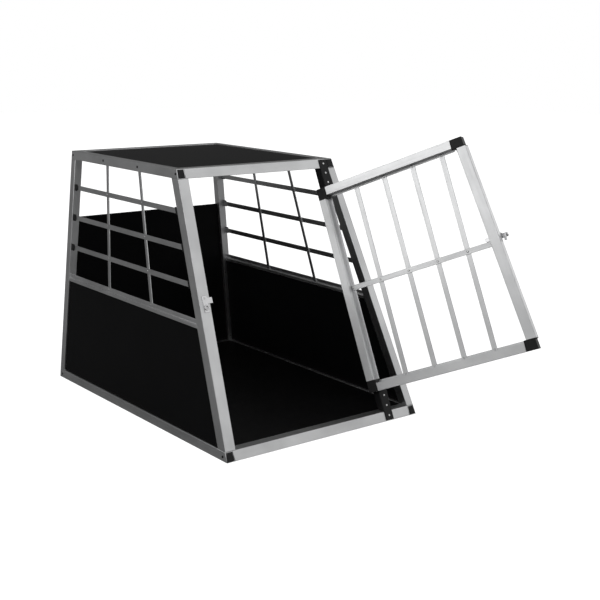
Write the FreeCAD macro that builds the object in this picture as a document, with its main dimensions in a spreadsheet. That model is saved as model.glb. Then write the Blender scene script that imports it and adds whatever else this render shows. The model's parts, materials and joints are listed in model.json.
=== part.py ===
import FreeCAD, Part
import math
import os
import Sketcher

# A car transport crate for one dog: an aluminium tube frame with black boards,
# open flat-bar grilles in both sides and one swinging door in the sloping front.
# Millimetres, Z up. X runs to the crate's right, Y to its rear.
# The origin is on the floor, midway along the front bottom edge.

SIZES = [
    ("base_width", 650), ("top_width", 524), ("depth", 910), ("height", 695),
    ("front_setback", 320), ("rear_setback", 5),
    ("rail_width", 25), ("rail_height", 25), ("cross_rail_depth", 27), ("wall", 2),
    ("upright_width", 24), ("upright_depth", 33), ("rear_upright_depth", 25),
    ("lip_width", 8), ("lip_thickness", 2.5), ("fit_gap", 0.2),
    ("board_recess", 4), ("board_thickness", 9), ("floor_thickness", 6), ("floor_drop", 2),
    ("rear_board_top", 495), ("ledge_width", 8), ("ledge_thickness", 2),
    ("mid_rail_bottom", 304), ("mid_rail_ridge", 314), ("mid_rail_top", 326),
    ("bar_recess", 6), ("bar_thickness", 2.5), ("bar_height", 14), ("slat_width", 12),
    ("low_bar_share", 0.2384), ("bar_pitch_share", 0.2616),
    ("clip_length", 14), ("clip_height", 20), ("clip_thickness", 3),
    ("plug_length", 30), ("plug_proud", 1),
    ("hinge_inset", 5), ("hinge_depth", 13), ("open_angle", 114.4),
    ("post_gap", 1.25), ("post_width", 27), ("post_depth", 24), ("post_door_gap", 0.5),
    ("plate_thickness", 2), ("plate_overhang", 0.5), ("plate_end_gap", 2),
    ("pin_radius", 3), ("pin_clearance", 0.05), ("pin_length", 56),
    ("door_low_gap", 59.5), ("door_high_gap", 56.6), ("door_side_gap", 17.5),
    ("door_hinge_edge", -14.9), ("door_inner", 19.1),
    ("door_thickness", 25), ("door_tube", 20.5),
    ("free_stile_width", 25), ("door_rail_height", 23.5), ("flange_width", 9), ("flange_short", 6),
    ("flange_thickness", 2.5), ("corner_reach", 27), ("corner_height", 33),
    ("free_corner_reach", 37), ("free_corner_height", 30), ("free_corner_inset", 3),
    ("free_corner_depth", 22), ("cap_thickness", 2.5), ("top_corner_height", 27),
    ("groove_width", 2), ("groove_depth", 1.2), ("groove_inset", 1.5),
    ("door_bar_width", 15), ("door_bar_thickness", 2),
    ("first_door_bar_share", 0.2266), ("door_bar_pitch_share", 0.2167),
    ("cross_bar_drop", 16), ("cross_bar_gap", 1), ("rivet_inset", 4),
    ("latch_level", 400), ("latch_inset", 12), ("shaft_radius", 6),
    ("shaft_clearance", 0.05), ("ring_radius", 11), ("ring_thickness", 4),
    ("cam_reach", 23.5), ("cam_width", 7), ("cam_shoulder", 8.5), ("cam_drop", 16), ("cam_tail", 9.5),
    ("cam_tab_clearance", 1),
    ("cam_thickness", 2.2), ("cam_gap", 0.4), ("handle_reach", 25), ("handle_grip", 39),
    ("handle_width", 11), ("handle_thickness", 10), ("handle_stand_off", 16), ("latch_corner", 3),
    ("nut_radius", 8), ("nut_height", 4), ("nut_gap", 0.3),
    ("rivet_radius", 3), ("small_rivet_radius", 2.5), ("rivet_height", 1.2), ("dot_radius", 3.5),
    ("dot_front_inset", 21), ("dot_rear_inset", 15), ("dot_level", 11), ("screw_inset", 5),
    ("keeper_thickness", 1.5), ("keeper_inset", 10.5), ("keeper_width", 15),
    ("keeper_height", 44), ("keeper_drop", 18), ("keeper_tab_lift", 4), ("keeper_tab_height", 16),
    ("keeper_leg_gap", 8.5), ("keeper_screw_inset", 7),
    ("keeper_ring_level", 12.5), ("keeper_ring_radius", 7), ("keeper_ring_bore", 4),
    ("keeper_ring_rise", 2.5),
    ("ledge_rivet_gap", 4.6),
]


class Size:
    """A number together with the spreadsheet formula that gives it."""

    def __init__(self, value, text=None):
        self.value = float(value)
        self.text = text if text is not None else repr(float(value))

    def __add__(self, other):
        other = as_size(other)
        return Size(self.value + other.value, f"({self.text} + {other.text})")

    def __sub__(self, other):
        other = as_size(other)
        return Size(self.value - other.value, f"({self.text} - {other.text})")

    def __mul__(self, other):
        other = as_size(other)
        return Size(self.value * other.value, f"({self.text} * {other.text})")

    def __truediv__(self, other):
        other = as_size(other)
        return Size(self.value / other.value, f"({self.text} / {other.text})")

    def __neg__(self):
        return Size(-self.value, f"(-1 * {self.text})")

    __radd__ = __add__
    __rmul__ = __mul__

    def __rsub__(self, other):
        return as_size(other) - self


def as_size(number):
    return number if isinstance(number, Size) else Size(number)


def root(size):
    return Size(math.sqrt(size.value), f"sqrt({size.text})")


doc = FreeCAD.newDocument("Crate")
sheet = doc.addObject("Spreadsheet::Sheet", "Sizes")
S = {}
for row, (word, number) in enumerate(SIZES, start=1):
    sheet.set(f"A{row}", word)
    sheet.set(f"B{row}", str(number))
    sheet.setAlias(f"B{row}", word)
    S[word] = Size(number, f"Sizes.{word}")
doc.recompute()
NODES = []

# ---------------------------------------------------------------- frame shape
lean = (S["base_width"] - S["top_width"]) / 2 / S["height"]
front_slope = S["front_setback"] / S["height"]
rear_slope = S["rear_setback"] / S["height"]
slope_length = root(S["front_setback"] * S["front_setback"] + S["height"] * S["height"])
sin_slope = S["front_setback"] / slope_length
cos_slope = S["height"] / slope_length
rail_top = S["rail_height"]
head_bottom = S["height"] - S["rail_height"]


def outer_x(z):
    return S["base_width"] / 2 - lean * z


def front_y(z):
    return front_slope * z


def rear_y(z):
    return S["depth"] - rear_slope * z


def slope_at(z, inward):
    """Distance up the sloping front where a point that far inside has height z."""
    return (z + inward * sin_slope) / cos_slope


post_left = outer_x(head_bottom) - S["upright_width"] - S["post_gap"] - S["post_width"]
hinge_x = post_left + S["hinge_inset"]
door_ends = {"bottom": slope_at(rail_top, Size(0)) + S["door_low_gap"],
             "top": slope_at(head_bottom, Size(0)) - S["door_high_gap"]}


def frame_placement(origin, x_axis, y_axis):
    """Placement whose local axes are x_axis, y_axis and their cross product."""
    x_dir = FreeCAD.Vector(*x_axis).normalize()
    y_dir = FreeCAD.Vector(*y_axis).normalize()
    z_dir = x_dir.cross(y_dir)
    matrix = FreeCAD.Matrix(x_dir.x, y_dir.x, z_dir.x, origin[0],
                            x_dir.y, y_dir.y, z_dir.y, origin[1],
                            x_dir.z, y_dir.z, z_dir.z, origin[2], 0, 0, 0, 1)
    return FreeCAD.Placement(matrix)


def wall_frame(side):
    """Local axes on a side wall: x along the wall, y up the lean, z outward."""
    origin = (side * S["base_width"].value / 2, 0, 0)
    return frame_placement(origin, (0, side, 0), (-side * lean.value, 0, 1))


WORLD = FreeCAD.Placement()
REAR_WALL = frame_placement((0, S["depth"].value, 0), (-1, 0, 0), (0, -rear_slope.value, 1))
FRONT = frame_placement((0, 0, 0), (1, 0, 0), (0, sin_slope.value, cos_slope.value))
lean_stretch = root(1 + lean * lean)
rear_stretch = root(1 + rear_slope * rear_slope)

opening = math.radians(S["open_angle"].value)
hinge_origin = FRONT.multVec(FreeCAD.Vector(hinge_x.value, 0, -S["hinge_depth"].value))
hinge_axis = FreeCAD.Vector(0, sin_slope.value, cos_slope.value)
door_out = FRONT.Rotation.multVec(FreeCAD.Vector(-math.cos(opening), 0, math.sin(opening)))
DOOR = frame_placement(tuple(hinge_origin), tuple(door_out), tuple(hinge_axis))


# ---------------------------------------------------------------- body makers
def new_body(name, placement=WORLD):
    body = doc.addObject("PartDesign::Body", name)
    body.Label = name
    body.Placement = placement
    return body


def register(shape_object):
    NODES.append(shape_object)
    return shape_object


def origin_plane(body, role):
    return next(item for item in body.Origin.OriginFeatures if item.Role == role)


def outline(body, role, loops, offset=None, tag="outline"):
    """A sketch of closed straight-sided loops, every corner tied to the sheet."""
    sketch = body.newObject("Sketcher::SketchObject", f"{body.Label}_{tag}")
    sketch.AttachmentSupport = [(origin_plane(body, role), "")]
    sketch.MapMode = "FlatFace"
    if offset is not None:
        sketch.AttachmentOffset = FreeCAD.Placement(
            FreeCAD.Vector(0, 0, offset.value), FreeCAD.Rotation())
        sketch.setExpression("AttachmentOffset.Base.z", offset.text)
    for loop in loops:
        corners = [(as_size(across), as_size(up)) for across, up in loop]
        first = sketch.GeometryCount
        points = [FreeCAD.Vector(across.value, up.value, 0) for across, up in corners]
        count = len(points)
        for index in range(count):
            sketch.addGeometry(Part.LineSegment(points[index], points[(index + 1) % count]))
        for index in range(count):
            sketch.addConstraint(Sketcher.Constraint(
                "Coincident", first + index, 2, first + (index + 1) % count, 1))
        for index, corner in enumerate(corners):
            pin_corner(sketch, first + index, corner)
    return sketch


def pin_corner(sketch, line, corner):
    for kind, axis, size in (("DistanceX", -2, corner[0]), ("DistanceY", -1, corner[1])):
        if size.value == 0:
            sketch.addConstraint(Sketcher.Constraint("PointOnObject", line, 1, axis))
            continue
        item = sketch.addConstraint(Sketcher.Constraint(kind, -1, 1, line, 1, size.value))
        sketch.setExpression(f"Constraints[{item}]", size.text)


def pad(body, sketch, length, reverse=False):
    length = as_size(length)
    feature = body.newObject("PartDesign::Pad", f"{sketch.Label}_pad")
    feature.Profile = sketch
    feature.Length = length.value
    feature.setExpression("Length", length.text)
    feature.Reversed = reverse
    body.Tip = feature
    doc.recompute()
    return feature


def pocket(body, sketch, length, both_ways=False, reverse=False):
    length = as_size(length)
    feature = body.newObject("PartDesign::Pocket", f"{sketch.Label}_cut")
    feature.Profile = sketch
    feature.Length = length.value
    feature.setExpression("Length", length.text)
    feature.Midplane = both_ways
    feature.Reversed = reverse
    body.Tip = feature
    doc.recompute()
    return feature


def round_hole(body, role, centre, radius, length, offset=None, tag="hole"):
    """A round pocket cut both ways through the sketch plane."""
    sketch = body.newObject("Sketcher::SketchObject", f"{body.Label}_{tag}")
    sketch.AttachmentSupport = [(origin_plane(body, role), "")]
    sketch.MapMode = "FlatFace"
    if offset is not None:
        sketch.AttachmentOffset = FreeCAD.Placement(
            FreeCAD.Vector(0, 0, offset.value), FreeCAD.Rotation())
        sketch.setExpression("AttachmentOffset.Base.z", offset.text)
    across, up = as_size(centre[0]), as_size(centre[1])
    middle = FreeCAD.Vector(across.value, up.value, 0)
    sketch.addGeometry(Part.Circle(middle, FreeCAD.Vector(0, 0, 1), radius.value))
    for kind, axis, size in (("DistanceX", -2, across), ("DistanceY", -1, up)):
        if size.value == 0:
            sketch.addConstraint(Sketcher.Constraint("PointOnObject", 0, 3, axis))
            continue
        item = sketch.addConstraint(Sketcher.Constraint(kind, -1, 1, 0, 3, size.value))
        sketch.setExpression(f"Constraints[{item}]", size.text)
    item = sketch.addConstraint(Sketcher.Constraint("Radius", 0, radius.value))
    sketch.setExpression(f"Constraints[{item}]", radius.text)
    return pocket(body, sketch, length, both_ways=True)


def flat_piece(name, corners, thickness, level=0, placement=WORLD):
    """A plate drawn in the local XY plane, starting at local height level."""
    level = as_size(level)
    body = new_body(name, placement)
    sketch = outline(body, "XY_Plane", [corners], offset=level)
    pad(body, sketch, thickness)
    return register(body)


def cross_piece(name, loops, x_start, length, placement=WORLD):
    """A piece drawn in the local YZ plane and padded along X."""
    body = new_body(name, placement)
    sketch = outline(body, "YZ_Plane", loops, offset=as_size(x_start))
    pad(body, sketch, length)
    return register(body)


def leaning_piece(name, low, high, z_low, z_high, bore=None, placement=WORLD):
    """A straight piece between two level sections, hollow when bore is given."""
    body = new_body(name, placement)
    pairs = [("PartDesign::AdditiveLoft", low, high, "shell")]
    if bore is not None:
        pairs.append(("PartDesign::SubtractiveLoft", bore[0], bore[1], "bore"))
    for kind, first, second, tag in pairs:
        start = outline(body, "XY_Plane", [first], offset=as_size(z_low), tag=f"{tag}_low")
        end = outline(body, "XY_Plane", [second], offset=as_size(z_high), tag=f"{tag}_high")
        doc.recompute()
        feature = body.newObject(kind, f"{name}_{tag}")
        feature.Profile = start
        feature.Sections = [end]
        feature.Ruled = True
        body.Tip = feature
        doc.recompute()
    return register(body)


def lengthwise_piece(name, loops, front_gap, rear_gap, front_run=None, rear_run=None):
    """A piece drawn across the crate, run front to rear, ends cut to the end planes.

    front_gap and rear_gap move the cut planes inward; with front_run (or rear_run)
    the piece is only that long, measured from the front (or rear) cut plane.
    """
    body = new_body(name)
    reach = S["depth"] * 2
    section = outline(body, "XZ_Plane", loops, offset=S["depth"] / 2)
    pad(body, section, reach, reverse=True)
    low, high = Size(-50), S["height"] + 50
    near = [(front_y(z) + front_gap, z) for z in (low, high)]
    far = [(rear_y(z) - rear_gap, z) for z in (low, high)]
    if front_run is not None:
        far = [(y + front_run, z) for y, z in near]
    if rear_run is not None:
        near = [(y - rear_run, z) for y, z in far]
    front_loop = [near[0], near[1], (-reach, high), (-reach, low)]
    rear_loop = [far[0], (reach, low), (reach, high), far[1]]
    cut = outline(body, "YZ_Plane", [front_loop, rear_loop], tag="ends")
    pocket(body, cut, S["base_width"] * 3, both_ways=True)
    return register(body)


def studs(name, spots, radius, height):
    """A group of separate round pieces; every spot is a frame, a point and an axis."""
    group = []
    for index, (placement, point, direction) in enumerate(spots, start=1):
        stud = doc.addObject("Part::Cylinder", f"{name}_{index}")
        stud.Radius = radius.value
        stud.setExpression("Radius", radius.text)
        stud.Height = height.value
        stud.setExpression("Height", height.text)
        turn = FreeCAD.Rotation(FreeCAD.Vector(0, 0, 1), FreeCAD.Vector(*direction))
        place = [as_size(value).value for value in point]
        stud.Placement = placement.multiply(FreeCAD.Placement(FreeCAD.Vector(*place), turn))
        group.append(stud)
    return compound(name, group)


def compound(name, pieces):
    group = doc.addObject("Part::Compound", name)
    group.Label = name
    group.Links = pieces
    doc.recompute()
    return register(group)


def merge_last(name, count):
    """Join the last few nodes into one node of separate solids."""
    pieces = [NODES.pop() for _ in range(count)]
    return compound(name, pieces[::-1])


def mirrored(side, corners):
    return [(side * across, up) for across, up in corners]


SIDES = (("left", -1), ("right", 1))

# ------------------------------------------------------- rails along each side
side_rails = {}
for side_name, side in SIDES:
    for level_name, z_low, z_high, x_ref in (
            ("bottom", Size(0), rail_top, outer_x(Size(0))),
            ("top", head_bottom, S["height"], outer_x(head_bottom))):
        inner = x_ref - S["rail_width"]
        wall = S["wall"]
        shell = [(outer_x(z_low), z_low), (outer_x(z_high), z_high), (inner, z_high), (inner, z_low)]
        bore = [(outer_x(z_low) - wall, z_low + wall), (outer_x(z_high) - wall, z_high - wall),
                (inner + wall, z_high - wall), (inner + wall, z_low + wall)]
        lengthwise_piece(f"{level_name}_rail_{side_name}",
                         [mirrored(side, shell), mirrored(side, bore)], Size(0), Size(0))
        side_rails[level_name] = inner
        inset = wall + S["fit_gap"] / 2
        core = [(outer_x(z_low) - inset, z_low + inset), (outer_x(z_high) - inset, z_high - inset),
                (inner + inset, z_high - inset), (inner + inset, z_low + inset)]
        side_rails[level_name, side_name] = mirrored(side, core)

for end_name in ("front", "rear"):
    for level_name in ("bottom", "top"):
        plugs = []
        for side_name, side in SIDES:
            run = {f"{end_name}_run": S["plug_length"]}
            plugs.append(lengthwise_piece(
                f"plug_{level_name}_{end_name}_{side_name}", [side_rails[level_name, side_name]],
                -S["plug_proud"], -S["plug_proud"], **run))
            NODES.pop()
        compound(f"{level_name}_plugs_{end_name}", plugs)
merge_last("rail_end_plugs", 4)

# ------------------------------------------------------ rails across the crate
for level_name, z_low, z_high in (("bottom", Size(0), rail_top), ("top", head_bottom, S["height"])):
    half = side_rails[level_name] - S["fit_gap"] / 2
    board_under = rail_top - S["floor_drop"] - S["floor_thickness"] if level_name == "bottom" \
        else S["height"] - S["floor_drop"] - S["floor_thickness"]
    shelf_top = board_under - S["fit_gap"] / 2
    shelf_low = shelf_top - S["ledge_thickness"]
    for end_name, edge, inward in (("front", front_y, 1), ("rear", rear_y, -1)):
        wide = inward * S["cross_rail_depth"]
        wall = S["wall"]
        ledge = inward * S["ledge_width"]
        shell = [(edge(z_low), z_low), (edge(z_high), z_high), (edge(z_high) + wide, z_high),
                 (edge(shelf_top) + wide, shelf_top), (edge(shelf_top) + wide + ledge, shelf_top),
                 (edge(shelf_low) + wide + ledge, shelf_low), (edge(shelf_low) + wide, shelf_low),
                 (edge(z_low) + wide, z_low)]
        step = inward * (wall + 0.5)
        bore = [(edge(z_low + wall) + step, z_low + wall), (edge(z_high - wall) + step, z_high - wall),
                (edge(z_high - wall) + wide - step, z_high - wall),
                (edge(z_low + wall) + wide - step, z_low + wall)]
        cross_piece(f"{level_name}_rail_{end_name}", [shell, bore], -half, half * 2)

# -------------------------------------------------------------------- uprights
def upright_sections(side, z, front, lip):
    outer = outer_x(z)
    inner = outer - S["upright_width"]
    wall = S["wall"]
    if front:
        near, deep, sign = front_y(z), front_y(z) + S["upright_depth"], 1
    else:
        near, deep, sign = rear_y(z), rear_y(z) - S["rear_upright_depth"], -1
    shell = [(outer, near), (outer, deep), (inner, deep)]
    if lip:
        fold = near + S["lip_thickness"]
        shell += [(inner, fold), (inner - S["lip_width"], fold), (inner - S["lip_width"], near)]
    else:
        shell += [(inner, near)]
    bore = [(outer - wall, near + sign * wall), (outer - wall, deep - sign * wall),
            (inner + wall, deep - sign * wall), (inner + wall, near + sign * wall)]
    return mirrored(side, shell), mirrored(side, bore)


for side_name, side in SIDES:
    for end_name, is_front in (("front", True), ("rear", False)):
        lip = is_front and side_name == "left"
        low, low_bore = upright_sections(side, rail_top, is_front, lip)
        high, high_bore = upright_sections(side, head_bottom, is_front, lip)
        leaning_piece(f"upright_{end_name}_{side_name}", low, high, rail_top, head_bottom,
                      bore=(low_bore, high_bore))

# ---------------------------------------------------------------------- boards
def front_limit(z):
    return front_y(z) + S["upright_depth"] + S["fit_gap"]


def rear_limit(z):
    return rear_y(z) - S["rear_upright_depth"] - S["fit_gap"]


def wall_corners(side, z_low, z_high, start=front_limit, end=rear_limit):
    spots = [(start(z_low), z_low), (end(z_low), z_low), (end(z_high), z_high), (start(z_high), z_high)]
    return [(side * y, z * lean_stretch) for y, z in spots]


board_back = S["board_recess"] + S["board_thickness"]
board_low = rail_top + board_back * lean + S["fit_gap"]
board_high = S["mid_rail_bottom"] - S["fit_gap"]
for side_name, side in SIDES:
    flat_piece(f"board_{side_name}", wall_corners(side, board_low, board_high),
               S["board_thickness"], level=-board_back, placement=wall_frame(side))

rear_low = rail_top + S["fit_gap"]


def rear_half(z):
    return outer_x(z) - S["upright_width"] - S["fit_gap"]


rear_high = S["rear_board_top"]
rear_corners = [(rear_half(rear_low), rear_low), (rear_half(rear_high), rear_high),
                (-rear_half(rear_high), rear_high), (-rear_half(rear_low), rear_low)]
flat_piece("board_rear", [(x, z * rear_stretch) for x, z in rear_corners],
           S["board_thickness"], level=-board_back, placement=REAR_WALL)

for board_name, level_name, board_top in (
        ("floor_board", "bottom", rail_top - S["floor_drop"]),
        ("roof_board", "top", S["height"] - S["floor_drop"])):
    half = side_rails[level_name] - S["fit_gap"]
    near = front_y(board_top) + S["cross_rail_depth"] + S["fit_gap"]
    far = rear_y(board_top) - S["cross_rail_depth"] - S["fit_gap"]
    flat_piece(board_name, [(-half, near), (half, near), (half, far), (-half, far)],
               S["floor_thickness"], level=board_top - S["floor_thickness"])

# ------------------------------------------------------- mid rails and grilles
bar_back = S["bar_recess"] + S["bar_thickness"]
slat_back = bar_back + S["bar_thickness"]
grille_height = head_bottom - S["mid_rail_top"]
bar_levels = [S["mid_rail_top"] + grille_height * (S["low_bar_share"] + S["bar_pitch_share"] * step)
              for step in range(3)]


def slat_centre(z, share):
    near, far = front_limit(z), rear_limit(z)
    return near + (far - near) * share


def slat_start(z, share):
    return slat_centre(z, share) - S["slat_width"] / 2


def slat_end(z, share):
    return slat_centre(z, share) + S["slat_width"] / 2


for side_name, side in SIDES:
    wall = wall_frame(side)
    body = flat_piece(f"mid_rail_{side_name}",
                      wall_corners(side, S["mid_rail_bottom"], S["mid_rail_ridge"]),
                      board_back - 1, level=-board_back, placement=wall)
    upper = outline(body, "XY_Plane", [wall_corners(side, S["mid_rail_ridge"], S["mid_rail_top"])],
                    offset=-bar_back, tag="flange")
    pad(body, upper, S["bar_thickness"])
    clips = []
    for number, level in enumerate(bar_levels, start=1):
        low, high = level - S["bar_height"] / 2, level + S["bar_height"] / 2
        flat_piece(f"grille_bar_{side_name}_{number}", wall_corners(side, low, high),
                   S["bar_thickness"], level=-bar_back, placement=wall)
        low, high = level - S["clip_height"] / 2, level + S["clip_height"] / 2
        for tag, start, end in (
                ("front", front_limit, lambda z: front_limit(z) + S["clip_length"]),
                ("rear", lambda z: rear_limit(z) - S["clip_length"], rear_limit)):
            clips.append(flat_piece(f"clip_{side_name}_{tag}_{number}",
                                    wall_corners(side, low, high, start, end),
                                    S["clip_thickness"], level=-S["bar_recess"], placement=wall))
            NODES.pop()
    compound(f"grille_clips_{side_name}", clips)
    for number, share in enumerate((1 / 3, 2 / 3), start=1):
        corners = wall_corners(side, S["mid_rail_ridge"] + S["fit_gap"], head_bottom - S["fit_gap"],
                               lambda z, k=share: slat_start(z, k), lambda z, k=share: slat_end(z, k))
        flat_piece(f"slat_{side_name}_{number}", corners, S["bar_thickness"],
                   level=-slat_back, placement=wall)
    merge_last(f"grille_slats_{side_name}", 2)

# ------------------------------------------------------- fixings of the frame
grille_spots, dot_spots, ledge_spots = [], [], []
for side_name, side in SIDES:
    wall = wall_frame(side)
    for share in (1 / 3, 2 / 3):
        for z in bar_levels + [(S["mid_rail_ridge"] + S["mid_rail_top"]) / 2]:
            spot = (side * slat_centre(z, share), z * lean_stretch, -S["bar_recess"])
            grille_spots.append((wall, spot, (0, 0, 1)))
    middle = head_bottom + S["rail_height"] / 2
    reach = rear_y(middle) - front_y(middle)
    for share in (0.015, 0.345, 0.67, 0.985):
        spot = (side * (front_y(middle) + reach * share), middle * lean_stretch, 0)
        dot_spots.append((wall, spot, (0, 0, 1)))
    for y in (S["dot_front_inset"], S["depth"] - S["dot_rear_inset"]):
        dot_spots.append((wall, (side * y, S["dot_level"], 0), (0, 0, 1)))
    for share in (0.24, 0.495, 0.75):
        board_face = outer_x(rail_top + S["rivet_height"]) - board_back * lean_stretch
        spot = (side * (board_face - S["ledge_rivet_gap"]), S["depth"] * share, rail_top)
        ledge_spots.append((WORLD, spot, (0, 0, 1)))
studs("grille_rivets", grille_spots, S["rivet_radius"], S["rivet_height"])
studs("screw_dots", dot_spots, S["dot_radius"], S["rivet_height"])
studs("rail_rivets", ledge_spots, S["small_rivet_radius"], S["rivet_height"])
screw_spots = []
for side_name, side in SIDES:
    for z in (Size(40), Size(262)):
        face = rear_y(z) - S["rear_upright_depth"]
        spot = (side * (outer_x(z) - S["upright_width"] + S["screw_inset"]), face, z)
        screw_spots.append((WORLD, spot, (0, -1, -rear_slope.value)))

# ------------------------------------------------------------------ door hinge
gap = S["post_door_gap"]
post_limits = {
    "bottom": (slope_at(rail_top + S["fit_gap"], Size(0)),
               slope_at(rail_top + S["fit_gap"], S["post_depth"]),
               door_ends["bottom"] - gap, door_ends["bottom"] - gap),
    "top": (door_ends["top"] + gap, door_ends["top"] + gap,
            slope_at(head_bottom - S["fit_gap"], Size(0)),
            slope_at(head_bottom - S["fit_gap"], S["post_depth"])),
}
for level_name, (low_out, low_in, high_out, high_in) in post_limits.items():
    deep = -S["post_depth"]
    body = cross_piece(f"hinge_post_{level_name}",
                       [[(low_out, Size(0)), (high_out, Size(0)), (high_in, deep), (low_in, deep)]],
                       post_left, S["post_width"], placement=FRONT)
    round_hole(body, "XZ_Plane", (hinge_x, -S["hinge_depth"]),
               S["pin_radius"] + S["pin_clearance"], Size(100), offset=-door_ends[level_name])
plate_limits = {"bottom": (S["plate_end_gap"], door_ends["bottom"] - gap),
                "top": (door_ends["top"] + gap, slope_length - S["plate_end_gap"])}
hinge_spots = []
plate_left = post_left - S["plate_overhang"]
plate_right = post_left + S["post_width"] + S["plate_overhang"]
plate_middle = post_left + S["post_width"] / 2
for level_name, (low, high) in plate_limits.items():
    flat_piece(f"hinge_plate_{level_name}",
               [(plate_left, low), (plate_right, low), (plate_right, high), (plate_left, high)],
               S["plate_thickness"], placement=FRONT)
    for share in (0.15, 0.49, 0.83):
        along = low + (high - low) * share if level_name == "bottom" else high - (high - low) * share
        hinge_spots.append((FRONT, (plate_middle, along, S["plate_thickness"]), (0, 0, 1)))
studs("hinge_rivets", hinge_spots, S["rivet_radius"], S["rivet_height"])
for level_name, sign in (("bottom", -1), ("top", 1)):
    start = door_ends[level_name] - S["pin_length"] / 2
    spot = (Size(0), start, Size(0))
    studs(f"pin_{level_name}", [(DOOR, spot, (0, 1, 0))], S["pin_radius"], S["pin_length"])
merge_last("hinge_pins", 2)

# ------------------------------------------------------------ keeper for latch
latch_height = S["latch_level"] * cos_slope
keeper_low = S["latch_level"] - S["keeper_drop"]
keeper_high = keeper_low + S["keeper_height"]
tab_low = S["latch_level"] + S["keeper_tab_lift"]
tab_high = tab_low + S["keeper_tab_height"]
plate_outer = -(outer_x(latch_height) - S["keeper_inset"])
plate_edges = (plate_outer, plate_outer + S["keeper_width"])
tab_end = -(outer_x(latch_height) - S["upright_width"] - S["lip_width"] - S["keeper_leg_gap"])
keeper = flat_piece("latch_keeper",
                    [(plate_edges[0], keeper_low), (plate_edges[1], keeper_low), (plate_edges[1], tab_low),
                     (tab_end, tab_low), (tab_end, tab_high), (plate_edges[1], tab_high),
                     (plate_edges[1], keeper_high), (plate_edges[0], keeper_high)],
                    S["keeper_thickness"], placement=FRONT)
plate_line = plate_outer + S["keeper_width"] / 2
ring_spot = (plate_line, keeper_low + S["keeper_ring_level"])
ring_sketch = keeper.newObject("Sketcher::SketchObject", "keeper_ring")
ring_sketch.AttachmentSupport = [(origin_plane(keeper, "XY_Plane"), "")]
ring_sketch.MapMode = "FlatFace"
for index, word in enumerate(("keeper_ring_radius", "keeper_ring_bore")):
    middle = FreeCAD.Vector(ring_spot[0].value, ring_spot[1].value, 0)
    ring_sketch.addGeometry(Part.Circle(middle, FreeCAD.Vector(0, 0, 1), S[word].value))
    for kind, number in (("DistanceX", ring_spot[0]), ("DistanceY", ring_spot[1])):
        item = ring_sketch.addConstraint(Sketcher.Constraint(kind, -1, 1, index, 3, number.value))
        ring_sketch.setExpression(f"Constraints[{item}]", number.text)
    item = ring_sketch.addConstraint(Sketcher.Constraint("Radius", index, S[word].value))
    ring_sketch.setExpression(f"Constraints[{item}]", S[word].text)
pad(keeper, ring_sketch, S["keeper_thickness"] + S["keeper_ring_rise"])
for along in (ring_spot[1], keeper_high - S["keeper_screw_inset"]):
    screw_spots.append((FRONT, (plate_line, along, S["keeper_thickness"]), (0, 0, 1)))
studs("frame_screws", screw_spots, S["small_rivet_radius"], S["rivet_height"])

# ------------------------------------------------------------------------ door
door_outer = S["door_inner"] - S["door_thickness"]
door_inner = S["door_inner"]
flange_face = door_outer + S["flange_thickness"]
wall = S["wall"]


def free_edge(along):
    """The door's free edge follows the inside of the left upright when it is shut."""
    taken = S["upright_width"] + S["lip_width"] + S["door_side_gap"]
    return hinge_x + outer_x(along * cos_slope) - taken


def tube_loops(start, end, flange_end):
    """Tube between start and end with a flat flange that reaches flange_end."""
    sign = 1 if flange_end.value > end.value else -1
    groove_top = door_inner - S["groove_inset"]
    groove_low = groove_top - S["groove_width"]
    start_floor = start + sign * S["groove_depth"]
    end_floor = end - sign * S["groove_depth"]
    shell = [(start, door_outer), (start, groove_low), (start_floor, groove_low), (start_floor, groove_top),
             (start, groove_top), (start, door_inner), (end, door_inner), (end, groove_top),
             (end_floor, groove_top), (end_floor, groove_low), (end, groove_low), (end, flange_face),
             (flange_end, flange_face), (flange_end, door_outer)]
    bore = [(start + sign * wall, door_outer + wall), (start + sign * wall, door_inner - wall),
            (end - sign * wall, door_inner - wall), (end - sign * wall, door_outer + wall)]
    return shell, bore


hinge_edge = S["door_hinge_edge"]
stile_right = hinge_edge + S["door_tube"]
corner_right = hinge_edge + S["corner_reach"]
low_corner_top = door_ends["bottom"] + S["corner_height"]
high_corner_low = door_ends["top"] - S["corner_height"]
free_low = door_ends["bottom"] + S["free_corner_height"]
free_high = door_ends["top"] - S["top_corner_height"]

body = new_body("door_stile_hinge", DOOR)
section = outline(body, "XZ_Plane", tube_loops(hinge_edge, stile_right, stile_right + S["flange_width"]),
                  offset=-low_corner_top)
pad(body, section, high_corner_low - low_corner_top, reverse=True)
register(body)

for level_name, edge, sign in (("bottom", door_ends["bottom"], 1), ("top", door_ends["top"], -1)):
    inside = edge + sign * S["door_rail_height"]
    loops = tube_loops(edge, inside, inside + sign * S["flange_short"])
    end = free_edge(edge) - S["free_corner_reach"]
    cross_piece(f"door_rail_{level_name}", loops, corner_right, end - corner_right, placement=DOOR)

body = new_body("door_stile_free", DOOR)
stations = []
for tag, along in (("low", free_low), ("high", free_high)):
    edge = free_edge(along)
    inside = edge - S["free_stile_width"]
    loops = tube_loops(edge, inside, inside - S["flange_width"])
    stations.append([outline(body, "XZ_Plane", [loop], offset=-along, tag=f"{kind}_{tag}")
                     for kind, loop in zip(("shell", "bore"), loops)])
doc.recompute()
for index, kind in enumerate(("PartDesign::AdditiveLoft", "PartDesign::SubtractiveLoft")):
    feature = body.newObject(kind, f"door_stile_free_{index}")
    feature.Profile = stations[0][index]
    feature.Sections = [stations[1][index]]
    feature.Ruled = True
    body.Tip = feature
    doc.recompute()
latch_spot = (free_edge(S["latch_level"]) - S["latch_inset"], S["latch_level"])
round_hole(body, "XY_Plane", latch_spot, S["shaft_radius"] + S["shaft_clearance"], S["wall"] * 3,
           offset=door_outer)
register(body)

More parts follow.
